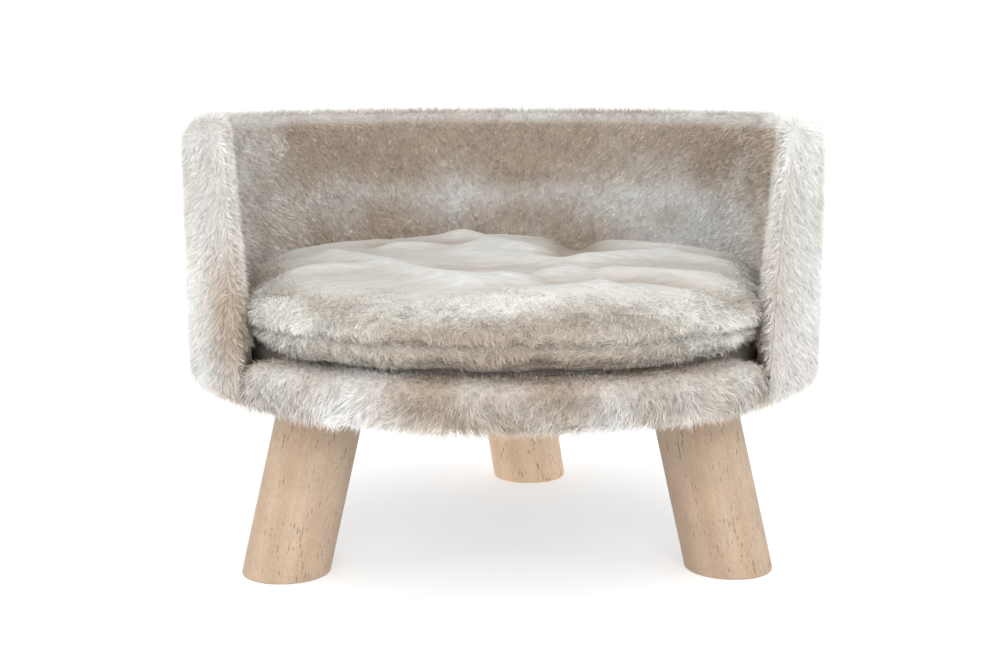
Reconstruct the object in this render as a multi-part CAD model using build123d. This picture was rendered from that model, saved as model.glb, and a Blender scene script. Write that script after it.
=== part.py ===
from build123d import *
import math
import os

# Raised round pet bed: a plywood disc on three splayed wooden legs, a C-shaped padded wall with a
# fur cover, a low padded front band between its arms, and a loose round cushion with a zip cover.
# Millimetres. +Z is up, -Y is the front, and the origin is on the floor under the tub's centre.

# ---- tub: overall sizes
tub_radius = 229.0                # finished outside radius of wall and front band
underside_height = 130.0          # floor to the hem under the tub
wall_top_height = 313.0           # floor to the top of the wall
seat_height = 168.0               # floor to the top of the seat cover and the front band

# ---- tub: layers
cover_thickness = 3.0             # fur fabric, backing and pressed pile
outer_foam_thickness = 5.0        # wall foam outside the shell
shell_thickness = 4.0             # bent board in the wall
shell_clearance = 0.2             # between the shell and the edge of the seat board
inner_foam_thickness = 22.0       # wall foam inside the shell, at seat height
top_foam_thickness = 10.0         # wall foam over the top edge of the shell
end_foam_thickness = 6.0          # wall foam over the front ends of the shell
board_thickness = 15.0
lining_thickness = 1.0
layer_gap = 0.2                   # between layers that lie side by side in the tub

# ---- tub: outline of the wall and its front opening
wall_flare = 7.0                  # the inside face opens by this much up to the top
wall_outer_edge_radius = 16.0
wall_inner_edge_radius = 9.0
band_edge_radius = 12.0
opening_half_angle = 49.5         # degrees from the front to each arm's front edge
opening_rake = 6.0                # degrees by which each arm's end leans away from the opening
arm_corner_radius = 25.0          # top front corner of each arm, seen from the side
inner_seam_drop = 10.0            # seam of the two wall covers, below the top of the wall

# ---- legs and their fasteners
leg_diameter = 60.0
leg_inset = 71.0                  # from the edge of the seat board to the leg's bolt
leg_lean = 14.5                   # degrees from upright
foot_edge_radius = 1.5
# Angle of each leg's bolt round the tub, and how far its lean has turned from straight outwards:
# a screw-in leg stops wherever its thread goes tight.
leg_places = {
    "front_left": (212.0, 0.0),
    "front_right": (332.5, -4.5),
    "back": (89.0, -35.0),
}
bolt_diameter = 8.0
bolt_length = 54.0
bolt_tip_length = 7.0
bolt_tip_diameter = 3.0
bolt_end_gap = 1.0                # bolt end below the top of the seat board
lining_hole_clearance = 0.5
tee_nut_flange_diameter = 21.0
tee_nut_flange_thickness = 1.5
tee_nut_barrel_diameter = 10.4
tee_nut_length = 11.0

# ---- screws and staples
screw_count = 9
screw_span = 236.0                # degrees of the wall, round the back, that the screws cover
screw_shank_diameter = 3.5
screw_head_diameter = 7.0
screw_length = 24.0
screw_sink = 0.4                  # head below the outside of the shell
staple_wire = 1.0
staple_width = 10.0
staple_depth = 7.0
cover_staple_count = 24
cover_staple_inset = 12.0         # from the edge of the seat board
lining_staple_count = 18
lining_staple_inset = 5.0         # from the edge of the lining

# ---- cushion
cushion_thickness = 38.0
cushion_lift = 0.3                # between the seat cover and the cushion
cushion_side_clearance = 1.5      # between the cushion and the wall
cushion_front_setback = 15.0      # front of the cushion behind the front of the band
cushion_arm_clearance = 10.0      # between the cushion's front and each arm's end
cushion_corner_radius = 22.0
cushion_waist_radius = 12.0
cushion_edge_radius = 14.0
cushion_cover_thickness = 3.0
cushion_seam_height = 9.0         # seam of the two panels above the underside of the cushion

# ---- zip in the cushion's underside
zip_length = 230.0
zip_width = 12.0
zip_offset = 60.0                 # behind the cushion's centre
zip_tape_thickness = 0.5
zip_coil_width = 2.0
zip_coil_height = 1.1
zip_running_clearance = 0.3       # round the coil inside the slider
zip_recess = 0.4                  # slider above the underside of the cushion
zip_stop_size = (3.0, 4.0)
slider_length = 8.0
slider_width = 5.0
slider_end_gap = 6.0              # slider's closed place, from the end of the zip
pull_length = 14.0
pull_width = 4.0
pull_thickness = 0.6

# ---- sizes that follow from the ones above
board_underside = underside_height + cover_thickness
board_top = board_underside + board_thickness
shell_outer_radius = tub_radius - cover_thickness - outer_foam_thickness
shell_inner_radius = shell_outer_radius - shell_thickness
board_radius = shell_inner_radius - shell_clearance
wall_inner_radius = shell_inner_radius - inner_foam_thickness - cover_thickness
opening_half_width = tub_radius * math.sin(math.radians(opening_half_angle))
shell_top = wall_top_height - cover_thickness - top_foam_thickness
lining_radius = wall_inner_radius - layer_gap
lining_underside = board_underside - lining_thickness
leg_radius = leg_diameter / 2
leg_circle_radius = board_radius - leg_inset
bolt_radius = bolt_diameter / 2
beyond = 2 * tub_radius           # long enough to pass right through the tub
parts = {}


def upright(radius, low, high):
    """Upright cylinder round the tub's axis between two heights."""
    return Pos(0, 0, low) * extrude(Circle(radius), amount=high - low)


def block(length, width, height, centre_x, centre_y, low):
    """Rectangular block, given by its sizes, the middle of its plan and its underside."""
    plan = Pos(centre_x, centre_y, low) * Rectangle(length, width)
    return extrude(plan, amount=height, dir=(0, 0, 1))


def half_width(height):
    """Half the width of the front opening at a height: it is wider towards the top."""
    return opening_half_width + (height - seat_height) * math.tan(math.radians(opening_rake))


def opening(inset, low, high):
    """Everything in front of the middle, between the two arm ends, widened by inset each side."""
    corners = [
        (-half_width(low) - inset, low),
        (half_width(low) + inset, low),
        (half_width(high) + inset, high),
        (-half_width(high) - inset, high),
    ]
    return extrude(Plane.XZ * make_face(Polyline(corners, close=True)), amount=beyond)


def arm_corners(inset):
    """What rounding the top front corner of both arms takes off, seen from the side."""
    centre_z = wall_top_height - arm_corner_radius
    tip = -math.sqrt(tub_radius**2 - half_width(centre_z) ** 2)
    centre_y = tip + arm_corner_radius
    square = Pos(centre_y - beyond / 2, centre_z + beyond / 2) * Rectangle(beyond, beyond)
    round_part = Pos(centre_y, centre_z) * Circle(arm_corner_radius - inset)
    return extrude(Plane.YZ * (square - round_part), amount=beyond, both=True)


def trim_ends(solid, inset):
    """Cut the front opening out of a ring, and round the arms' top front corners."""
    return solid - opening(inset, 0, wall_top_height + cover_thickness) - arm_corners(inset)


def wall_ring(inset):
    """The whole wall, moved inwards by inset all round: a full ring with rounded top edges."""
    outer = tub_radius - inset
    inner_low = wall_inner_radius + inset
    inner_high = inner_low + wall_flare
    high = wall_top_height - inset
    outline = make_face(
        Polyline(
            (inner_low, underside_height + inset),
            (outer, underside_height + inset),
            (outer, high),
            (inner_high, high),
            (inner_low, seat_height),
            close=True,
        )
    )
    inner_edge, outer_edge = outline.vertices().sort_by(Axis.Y)[-2:].sort_by(Axis.X)
    outline = fillet(outer_edge, wall_outer_edge_radius - inset)
    inner_edge = outline.vertices().group_by(Axis.Y)[-1].sort_by(Axis.X)[0]
    outline = fillet(inner_edge, wall_inner_edge_radius - inset)
    return revolve(Plane.XZ * outline, Axis.Z)


def wall_body(inset):
    """The C-shaped wall, moved inwards by inset, standing round and on the seat board."""
    return trim_ends(wall_ring(inset), inset) - board_pocket


def band_body(inset):
    """The front band between the arms, its outside and top moved inwards by inset."""
    outer = tub_radius - inset
    outline = make_face(
        Polyline(
            (wall_inner_radius, underside_height + inset),
            (outer, underside_height + inset),
            (outer, seat_height - inset),
            (wall_inner_radius, seat_height - inset),
            close=True,
        )
    )
    edge = outline.vertices().group_by(Axis.Y)[-1].sort_by(Axis.X)[-1]
    outline = fillet(edge, band_edge_radius - inset)
    ring = revolve(Plane.XZ * outline, Axis.Z)
    return (ring & opening(-layer_gap, 0, seat_height + 1)) - board_pocket


def staples(radius, count, underside):
    """A ring of wire staples driven upwards, with their crowns along the ring."""
    crown = block(staple_wire, staple_width, staple_wire, radius, 0, underside - staple_wire)
    shift = (staple_width - staple_wire) / 2
    prongs = [
        block(staple_wire, staple_wire, staple_depth, radius, side * shift, underside)
        for side in (-1, 1)
    ]
    staple = crown + prongs
    step = 360 / count
    return Compound(children=[Rot(0, 0, (i + 0.5) * step) * staple for i in range(count)])


# ---- seat board: plywood disc, drilled for the tee nuts and for the screws in its edge
board_pocket = upright(shell_inner_radius, board_underside, board_top)
seat_board = upright(board_radius, board_underside, board_top)

# ---- screws: driven inwards through the shell into the edge of the seat board
screw_height = board_underside + board_thickness / 2
screw_profile = make_face(
    Polyline(
        (0, 0),
        (0, screw_head_diameter / 2),
        ((screw_head_diameter - screw_shank_diameter) / 2, screw_shank_diameter / 2),
        (screw_length - screw_shank_diameter, screw_shank_diameter / 2),
        (screw_length, 0),
        close=True,
    )
)
screw_head_x = shell_outer_radius - screw_sink
screw = Pos(screw_head_x, 0, screw_height) * Rot(0, 0, 180) * revolve(screw_profile, Axis.X)
sink = Pos(screw_head_x, 0, screw_height) * Rot(0, 90, 0) * Cylinder(
    screw_head_diameter / 2, outer_foam_thickness, align=(Align.CENTER, Align.CENTER, Align.MIN)
)
screw_step = screw_span / (screw_count - 1)
screw_turns = [Rot(0, 0, 90 - screw_span / 2 + i * screw_step) for i in range(screw_count)]
screws = [turn * screw for turn in screw_turns]
sinks = [turn * sink for turn in screw_turns]
parts["shell_screws"] = Compound(children=screws)

# ---- wall shell: bent board round the seat board, cut back at the opening
shell_ring = upright(shell_outer_radius, board_underside, shell_top) - upright(
    shell_inner_radius, board_underside, shell_top
)
wall_shell = trim_ends(shell_ring, cover_thickness + end_foam_thickness)
parts["wall_shell"] = wall_shell - screws - sinks

# ---- wall foam: jacket round the shell
wall_core = wall_body(cover_thickness)
parts["wall_foam"] = wall_core - wall_shell

# ---- wall covers: the outer panel turns under the board and rolls over the top to the seam
wall_cover = wall_body(0) - wall_core
inner_zone = upright(tub_radius - cover_thickness, board_top, wall_top_height - inner_seam_drop)
parts["wall_inner_cover"] = wall_cover & inner_zone
parts["wall_outer_cover"] = wall_cover - inner_zone

# ---- front band: foam over the front edge of the board, under its own strip of fur
band_core = band_body(cover_thickness)
parts["front_band_foam"] = band_core
parts["front_band_cover"] = band_body(0) - band_core

# ---- seat: foam disc and cover inside the wall
seat_radius = wall_inner_radius - layer_gap
seat_foam_top = seat_height - cover_thickness
parts["seat_foam"] = upright(seat_radius, board_top, seat_foam_top)
parts["seat_cover"] = upright(seat_radius, seat_foam_top, seat_height)

# ---- legs: a hanger bolt in each leg's top screws into a tee nut in the board
lining = upright(lining_radius, lining_underside, board_underside)
for name, (place, turn) in leg_places.items():
    angle = math.radians(place)
    bolt_x = leg_circle_radius * math.cos(angle)
    bolt_y = leg_circle_radius * math.sin(angle)
    at_bolt = Pos(bolt_x, bolt_y, 0)
    bolt_top = board_top - bolt_end_gap
    bolt_low = bolt_top - bolt_length
    tip = Pos(0, 0, bolt_low - bolt_tip_length / 2) * Cone(
        bolt_tip_diameter / 2, bolt_radius, bolt_tip_length
    )
    bolt = at_bolt * (upright(bolt_radius, bolt_low, bolt_top) + tip)
    barrel_low = board_top - tee_nut_length
    flange_low = board_top - tee_nut_flange_thickness
    barrel = upright(tee_nut_barrel_diameter / 2, barrel_low, board_top)
    flange = upright(tee_nut_flange_diameter / 2, flange_low, board_top)
    nut_hole = upright(tee_nut_barrel_diameter / 2, board_underside, board_top)
    bolt_bore = upright(bolt_radius, board_underside, board_top)
    seat_board -= at_bolt * (nut_hole + flange)
    lining -= at_bolt * upright(bolt_radius + lining_hole_clearance, lining_underside, board_underside)
    # The round leg leans about the middle of its top, and both its ends are cut level.
    lean = Pos(0, 0, lining_underside) * Rot(0, 0, place + turn) * Rot(0, -leg_lean, 0)
    stock = lean * Cylinder(leg_radius, 4 * lining_underside)
    level = block(beyond, beyond, lining_underside, 0, 0, 0)
    leg = stock & level
    leg = fillet(leg.edges().group_by(Axis.Z)[0], foot_edge_radius)
    parts["leg_" + name] = at_bolt * leg - bolt
    parts["hanger_bolt_" + name] = bolt
    parts["tee_nut_" + name] = at_bolt * (barrel + flange - bolt_bore)
parts["seat_board"] = seat_board - screws
parts["base_lining"] = lining

# ---- staples: the hem of the fur covers, and the lining
parts["cover_staples"] = staples(
    board_radius - cover_staple_inset, cover_staple_count, underside_height
)
parts["lining_staples"] = staples(
    lining_radius - lining_staple_inset, lining_staple_count, lining_underside
)

# ---- cushion: round at the back inside the wall, and fuller at the front between the arms
cushion_low = seat_height + cushion_lift
cushion_high = cushion_low + cushion_thickness
cushion_radius = wall_inner_radius - cushion_side_clearance
front_radius = tub_radius - cushion_front_setback
front_half_width = opening_half_width - cushion_arm_clearance
front_zone = Pos(0, -front_radius / 2) * Rectangle(2 * front_half_width, front_radius)
plan = Circle(cushion_radius) + (Circle(front_radius) & front_zone)
plan = fillet(plan.vertices().group_by(Axis.Y)[0], cushion_corner_radius)
waist = [v for v in plan.vertices() if abs(math.hypot(v.X, v.Y) - cushion_radius) < 0.01 and v.Y < 0]
plan = fillet(waist, cushion_waist_radius)


def cushion_body(inset):
    """The cushion with its outline, top and bottom moved inwards by inset, and round edges."""
    outline = offset(plan, amount=-inset) if inset else plan
    body = extrude(Pos(0, 0, cushion_low + inset) * outline, amount=cushion_thickness - 2 * inset)
    ends = body.faces().sort_by(Axis.Z)
    return fillet(ends[0].edges() + ends[-1].edges(), cushion_edge_radius - inset)


filling = cushion_body(cushion_cover_thickness)
cushion_cover = cushion_body(0) - filling
seam = cushion_low + cushion_seam_height
parts["cushion_filling"] = filling
parts["cushion_top_panel"] = cushion_cover - upright(tub_radius, cushion_low, seam)
bottom_panel = cushion_cover & upright(tub_radius, cushion_low, seam)

# ---- zip: tapes against the filling, the coil under them, and the slider round the coil
zip_top = cushion_low + cushion_cover_thickness
parts["cushion_bottom_panel"] = bottom_panel - block(
    zip_length, zip_width, cushion_cover_thickness, 0, zip_offset, cushion_low
)
tape_low = zip_top - zip_tape_thickness
coil_low = tape_low - zip_coil_height
parts["zip_tapes"] = block(
    zip_length, zip_width, zip_tape_thickness, 0, zip_offset, tape_low
)
stop_length, stop_width = zip_stop_size
coil_length = zip_length - 2 * stop_length
parts["zip_coil"] = block(coil_length, zip_coil_width, zip_coil_height, 0, zip_offset, coil_low)
stop_shift = (zip_length - stop_length) / 2
stops = [
    block(stop_length, stop_width, zip_coil_height, side * stop_shift, zip_offset, coil_low)
    for side in (-1, 1)
]
parts["zip_stops"] = Compound(children=stops)
slider_low = cushion_low + zip_recess
slider_high = tape_low - zip_running_clearance
slider_x = zip_length / 2 - slider_end_gap - slider_length / 2
slider = block(
    slider_length, slider_width, slider_high - slider_low, slider_x, zip_offset, slider_low
)
channel_low = coil_low - zip_running_clearance
channel_width = zip_coil_width + 2 * zip_running_clearance
parts["zip_slider"] = slider - block(
    slider_length, channel_width, slider_high - channel_low, slider_x, zip_offset, channel_low
)
pull_x = slider_x - (slider_length + pull_length) / 2
pull_bar = block(pull_length, pull_width, pull_thickness, pull_x, zip_offset, slider_low)
eye_x = pull_x - pull_length / 2 + pull_width / 2
eye = Pos(eye_x, zip_offset) * upright(pull_width / 4, slider_low, slider_low + pull_thickness)
parts["zip_pull"] = pull_bar - eye

os.makedirs("parts", exist_ok=True)
for name, part in parts.items():
    export_step(part, f"parts/{name}.step")
print(len(parts), "parts written; board radius", round(board_radius, 2), "mm")
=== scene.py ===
import itertools
import math

import bmesh
import bpy
import numpy as np
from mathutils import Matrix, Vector


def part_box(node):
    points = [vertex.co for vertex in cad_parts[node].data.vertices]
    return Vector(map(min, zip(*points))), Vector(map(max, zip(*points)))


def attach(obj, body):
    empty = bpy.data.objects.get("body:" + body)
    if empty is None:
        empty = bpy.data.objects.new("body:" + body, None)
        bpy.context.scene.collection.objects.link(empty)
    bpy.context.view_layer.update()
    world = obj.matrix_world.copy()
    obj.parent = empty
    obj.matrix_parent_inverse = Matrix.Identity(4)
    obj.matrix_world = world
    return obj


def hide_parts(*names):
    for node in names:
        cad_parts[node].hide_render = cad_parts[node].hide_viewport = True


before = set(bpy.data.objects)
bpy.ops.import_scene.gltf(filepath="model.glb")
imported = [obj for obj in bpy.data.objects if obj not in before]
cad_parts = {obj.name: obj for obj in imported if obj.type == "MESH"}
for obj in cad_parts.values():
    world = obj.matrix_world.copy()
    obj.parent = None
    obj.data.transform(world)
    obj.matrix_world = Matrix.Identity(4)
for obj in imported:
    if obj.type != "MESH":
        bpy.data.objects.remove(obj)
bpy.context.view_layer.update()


# ---------------------------------------------------------------- Studio
# The bed stands on a plain white floor in soft light from all round, with a strong soft box in
# front, and weak ones above it and at each side.

class Signal:
    """A value in a material: arithmetic on it adds Math nodes, and node() adds any other node."""

    def __init__(self, tree, socket=None):
        self.tree = tree
        self.socket = socket

    def node(self, kind, settings=None, inputs=None, output=0):
        """Adds a node: settings are made first, then inputs by name or number, links or values."""
        added = self.tree.nodes.new(kind)
        for name, value in (settings or {}).items():
            setattr(added, name, value)
        for name, value in (inputs or {}).items():
            if isinstance(value, Signal):
                self.tree.links.new(value.socket, added.inputs[name])
            else:
                added.inputs[name].default_value = value
        return Signal(self.tree, added.outputs[output])

    def maths(self, operation, first, second):
        return self.node("ShaderNodeMath", {"operation": operation}, {0: first, 1: second})

    def __add__(self, other):
        return self.maths("ADD", self, other)

    def __radd__(self, other):
        return self.maths("ADD", other, self)

    def __sub__(self, other):
        return self.maths("SUBTRACT", self, other)

    def __mul__(self, other):
        return self.maths("MULTIPLY", self, other)

    def __rmul__(self, other):
        return self.maths("MULTIPLY", other, self)

    def clamped(self, low, high):
        """This value taken from the range low to high to the range 0 to 1, and kept inside it."""
        return self.node(
            "ShaderNodeMapRange", {"clamp": True}, {"Value": self, "From Min": low, "From Max": high}
        )

    def colour(self, low, high):
        """The colour low where this value is 0, and high where it is 1."""
        ends = {6: as_colour(low), 7: as_colour(high)}
        return self.node("ShaderNodeMix", {"data_type": "RGBA"}, {0: self, **ends}, output=2)

    def times(self, colour):
        """A colour made darker or lighter by this value."""
        return self.node(
            "ShaderNodeVectorMath", {"operation": "SCALE"}, {"Vector": colour, "Scale": self}
        )


def as_colour(value):
    """Three numbers with full opacity added, or a link as it is."""
    return value if isinstance(value, Signal) else (*value, 1.0)


def new_material(name, **constants):
    """A material whose Principled shader has these plain settings, and its empty node tree."""
    material = bpy.data.materials.new(name)
    material.use_nodes = True
    shader = material.node_tree.nodes["Principled BSDF"]
    for socket, value in constants.items():
        shader.inputs[socket.replace("_", " ")].default_value = value
    return material, Signal(material.node_tree)


def connect(material, **signals):
    """Links values into the material's Principled shader."""
    shader = material.node_tree.nodes["Principled BSDF"]
    for socket, signal in signals.items():
        material.node_tree.links.new(signal.socket, shader.inputs[socket.replace("_", " ")])


def bumped(height, distance):
    """A normal from a height that varies over the surface."""
    return height.node("ShaderNodeBump", {}, {"Height": height, "Distance": distance})


def added_object(name, data):
    """A new object in the scene, with this mesh, lamp or camera."""
    added = bpy.data.objects.new(name, data)
    bpy.context.scene.collection.objects.link(added)
    return added


def soft_box(name, place, aim, width, height, power):
    """A rectangular lamp at place that faces aim."""
    lamp = bpy.data.lights.new(name, "AREA")
    lamp.shape = "RECTANGLE"
    lamp.size = width
    lamp.size_y = height
    lamp.energy = power
    holder = added_object(name, lamp)
    holder.location = place
    holder.rotation_euler = (Vector(aim) - Vector(place)).to_track_quat("-Z", "Y").to_euler()


floor_half = 30.0
floor_mesh = bpy.data.meshes.new("studio_floor")
floor_mesh.from_pydata(
    [(x * floor_half, y * floor_half, 0.0) for x, y in ((-1, -1), (1, -1), (1, 1), (-1, 1))],
    [],
    [(0, 1, 2, 3)],
)
studio_floor = added_object("studio_floor", floor_mesh)
floor_paint, tree = new_material(
    "studio_floor",
    Base_Color=(0.62, 0.62, 0.62, 1),
    Roughness=0.9,
    Emission_Color=(1, 1, 1, 1),
    Emission_Strength=0.50,
)
floor_mesh.materials.append(floor_paint)

world = bpy.data.worlds.new("studio_light")
world.use_nodes = True
world.node_tree.nodes["Background"].inputs["Color"].default_value = (1.0, 1.0, 1.0, 1.0)
world.node_tree.nodes["Background"].inputs["Strength"].default_value = 1.0
bpy.context.scene.world = world
bpy.context.scene.view_settings.view_transform = "Standard"
soft_box("soft_box_above", (0.2, -0.9, 2.3), (0, 0, 0.15), 1.6, 1.2, 6.0)
soft_box("soft_box_front", (0.1, -2.6, 1.3), (0, 0, 0.2), 2.2, 1.5, 45.0)
soft_box("soft_box_left", (-2.1, -0.5, 0.9), (0, 0, 0.2), 1.2, 1.6, 7.0)
soft_box("soft_box_right", (2.1, -0.4, 1.0), (0, 0, 0.2), 1.2, 1.6, 4.5)

camera_lens = bpy.data.cameras.new("camera")
camera_lens.lens = 56.4
camera_lens.sensor_width = 36.0
camera = added_object("camera", camera_lens)
camera.location = (-0.003, -1.150, 0.344)
camera.rotation_euler = (math.radians(80.6), 0.0, 0.0)
bpy.context.scene.camera = camera


# ---------------------------------------------------------------- Boards inside the tub
# The seat is a plywood disc, and the wall stands on a strip of thin board bent round its edge.
# Both are raw wood, hidden by the foam and the fur.

def object_places(tree):
    """The piece's own coordinates, in metres."""
    return tree.node("ShaderNodeTexCoord", output=3)


def stretched(places, x, y, z):
    """Coordinates multiplied along each axis, so that a pattern on them is drawn out."""
    return places.node(
        "ShaderNodeVectorMath", {"operation": "MULTIPLY"}, {0: places, 1: (x, y, z)}
    )


def noise(places, scale, detail):
    """Fractal noise from about 0 to 1, with scale spots to the metre."""
    return places.node(
        "ShaderNodeTexNoise", {}, {"Vector": places, "Scale": scale, "Detail": detail}
    )


def paint(node, material):
    """Gives a CAD node this material in place of its plain one."""
    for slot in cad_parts[node].material_slots:
        slot.material = material


plywood, tree = new_material("birch_plywood", Roughness=0.62)
places = object_places(tree)
plies = noise(stretched(places, 0.0, 0.0, 1.0), 380.0, 0.0).clamped(0.42, 0.58)
figure = noise(stretched(places, 14.0, 1.0, 1.0), 28.0, 4.0).clamped(0.3, 0.7)
face_colour = figure.colour((0.60, 0.43, 0.26), (0.74, 0.58, 0.38))
connect(
    plywood,
    Base_Color=(0.72 + 0.28 * plies).times(face_colour),
    Normal=bumped(figure, 0.0002),
)
paint("seat_board", plywood)

bent_board, tree = new_material("bent_hardboard", Roughness=0.55)
fibres = noise(object_places(tree), 900.0, 4.0).clamped(0.3, 0.7)
connect(
    bent_board,
    Base_Color=fibres.colour((0.25, 0.15, 0.08), (0.40, 0.26, 0.15)),
    Normal=bumped(fibres, 0.0002),
)
paint("wall_shell", bent_board)


# ---------------------------------------------------------------- Screws, tee nuts, bolts, staples
# Zinc-plated steel: screws hold the bent board to the seat's edge, and a tee nut and a hanger
# bolt carry each leg. Wire staples hold the lining and the turned-in hem of the fur.

def plated_steel(name, colour):
    """Plated steel with faint drawing lines and cloudy patches of zinc."""
    material, tree = new_material(name, Metallic=1.0)
    places = object_places(tree)
    cloud = noise(places, 260.0, 3.0)
    lines = noise(stretched(places, 1.0, 1.0, 14.0), 700.0, 1.0)
    dark = tuple(0.78 * part for part in colour)
    connect(
        material,
        Base_Color=cloud.clamped(0.35, 0.65).colour(dark, colour),
        Roughness=0.28 + 0.22 * cloud,
        Normal=bumped(lines, 0.00005),
    )
    return material


zinc = plated_steel("zinc_plate", (0.62, 0.63, 0.64))
leg_names = ("front_left", "front_right", "back")
for leg_name in leg_names:
    paint("hanger_bolt_" + leg_name, zinc)
    paint("tee_nut_" + leg_name, zinc)
paint("shell_screws", zinc)
wire = plated_steel("staple_wire", (0.52, 0.52, 0.52))
paint("cover_staples", wire)
paint("lining_staples", wire)


# ---------------------------------------------------------------- Lining under the seat
# A disc of thin black non-woven cloth stapled under the seat board, with the small pressed
# diamonds that such cloth has.

lining_cloth, tree = new_material("black_lining_cloth", Roughness=0.88)
places = object_places(tree)
threads = noise(places, 1500.0, 5.0).clamped(0.3, 0.7)
diamonds = places.node(
    "ShaderNodeTexVoronoi", {"distance": "MANHATTAN"}, {"Vector": places, "Scale": 420.0}
)
pressed = diamonds.clamped(0.1, 0.4)
connect(
    lining_cloth,
    Base_Color=(0.6 + 0.4 * pressed).times(threads.colour((0.012, 0.012, 0.013), (0.04, 0.04, 0.042))),
    Normal=bumped(pressed + 0.3 * threads, 0.0002),
)
paint("base_lining", lining_cloth)


# ---------------------------------------------------------------- Legs
# Three round legs of pale rubberwood, sanded and left matt, screwed into the seat board so that
# they splay. The grain runs along each leg, with short dark pores.

def vertex_rows(mesh, name="co"):
    """The place of every vertex of a mesh, or another vector that it has, as rows of three."""
    values = np.empty(len(mesh.vertices) * 3)
    mesh.vertices.foreach_get(name, values)
    return values.reshape(-1, 3)


def leg_axis(node):
    """The middle of a leg's foot, and the direction from there to the middle of its top."""
    spots = vertex_rows(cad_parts[node].data)
    low, high = spots[:, 2].min(), spots[:, 2].max()
    foot = spots[spots[:, 2] < low + 1e-5]
    top = spots[spots[:, 2] > high - 1e-5]
    foot_middle = (foot.min(0) + foot.max(0)) / 2
    top_middle = (top.min(0) + top.max(0)) / 2
    return Vector(foot_middle), Vector(top_middle - foot_middle).normalized()


def rubberwood(name, foot, axis, brightness):
    """Pale wood: wide soft bands, fine grain lines, small flecks and short dark pores, all drawn
    out along the leg."""
    material, tree = new_material(name, Roughness=0.5, Specular_IOR_Level=0.35)
    turn = Vector((0, 0, 1)).rotation_difference(axis).to_euler()
    places = tree.node(
        "ShaderNodeMapping",
        {"vector_type": "TEXTURE"},
        {"Vector": object_places(tree), "Location": foot, "Rotation": turn},
    )
    bands = noise(stretched(places, 1.0, 1.0, 0.12), 60.0, 4.0).clamped(0.28, 0.72)
    lines = noise(stretched(places, 1.0, 1.0, 0.03), 620.0, 4.0).clamped(0.3, 0.7)
    flecks = noise(stretched(places, 1.0, 1.0, 0.35), 950.0, 3.0).clamped(0.32, 0.66)
    cloud = noise(places, 38.0, 2.0).clamped(0.3, 0.7)
    pores = noise(stretched(places, 1.0, 1.0, 0.16), 900.0, 1.0).clamped(0.655, 0.705)
    here = noise(stretched(places, 1.0, 1.0, 0.4), 95.0, 1.0).clamped(0.40, 0.56)
    wood = bands.colour((0.53, 0.37, 0.25), (0.60, 0.46, 0.335))
    wood = (0.86 + 0.07 * lines + 0.15 * flecks).times(wood)
    wood = (brightness + 0.10 * cloud).times(wood)
    wood = (0.85 * (pores * here)).colour(wood, (0.20, 0.105, 0.055))
    relief = 0.3 * lines + 0.3 * flecks - pores * here
    connect(
        material,
        Base_Color=wood,
        Roughness=0.46 + 0.14 * lines,
        Normal=bumped(relief, 0.00025),
    )
    return material


# The back leg stands in the tub's shadow, so its wood is made lighter.
leg_brightness = {"front_left": 0.73, "front_right": 0.68, "back": 1.30}
for leg_name in leg_names:
    foot, axis = leg_axis("leg_" + leg_name)
    leg_wood = rubberwood("rubberwood_" + leg_name, foot, axis, leg_brightness[leg_name])
    paint("leg_" + leg_name, leg_wood)


# ---------------------------------------------------------------- Seat pad
# A foam disc on the board, under a cover of plain taupe plush. The cushion lies on it, so it
# shows only in the gap in front, and when the cushion is lifted out.

def unit(vectors):
    """Each row made one long."""
    return vectors / np.maximum(np.linalg.norm(vectors, axis=-1, keepdims=True), 1e-12)


lattice_primes = np.array([73856093, 19349663, 83492791])


def off_axis(points):
    """Distance of each point from the upright axis through the middle of the tub."""
    return np.hypot(points[:, 0], points[:, 1])


def outward(points):
    """Level direction from the tub's axis to each point."""
    return unit(points * np.array([1, 1, 0]))


def soft_noise(points, size, seed):
    """Smooth random field from 0 to 1: random numbers on a cubic lattice of this spacing, mixed
    between the eight corners round each point by a smooth step along each axis."""
    scaled = points / size + 7.31 * seed
    cell = np.floor(scaled).astype(np.int64)
    part = scaled - cell
    part = part * part * (3 - 2 * part)
    total = np.zeros(len(points))
    for corner in itertools.product((0, 1), repeat=3):
        at = cell + np.array(corner)
        mixed = np.bitwise_xor.reduce(at * lattice_primes, axis=1) ^ (seed * 977)
        mixed = ((mixed ^ (mixed >> 13)) * 1274126177) & 0xFFFFFFFF
        value = ((mixed ^ (mixed >> 16)) & 0xFFFF) / 65535.0
        total += value * np.prod(np.where(corner, part, 1 - part), axis=1)
    return total


def closed_piece(name, places):
    """A closed skin over a grid of points: the columns wrap round, and one face closes each end."""
    rows, columns, _ = places.shape
    index = np.arange(rows * columns).reshape(rows, columns)
    beside = np.roll(index, -1, axis=1)
    quads = np.stack([index[:-1], index[1:], beside[1:], beside[:-1]], axis=-1).reshape(-1, 4)
    mesh = bpy.data.meshes.new(name)
    ends = [index[0].tolist(), index[-1].tolist()]
    mesh.from_pydata(places.reshape(-1, 3).tolist(), [], quads.tolist() + ends)
    tidy = bmesh.new()
    tidy.from_mesh(mesh)
    bmesh.ops.remove_doubles(tidy, verts=tidy.verts, dist=1e-6)
    bmesh.ops.recalc_face_normals(tidy, faces=tidy.faces)
    tidy.to_mesh(mesh)
    tidy.free()
    mesh.shade_smooth()
    return added_object(name, mesh)


def set_values(piece, name, values):
    """Stores one number for each vertex of a piece."""
    attribute = piece.data.attributes.new(name, "FLOAT", "POINT")
    attribute.data.foreach_set("value", np.asarray(values, np.float32))


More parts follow.
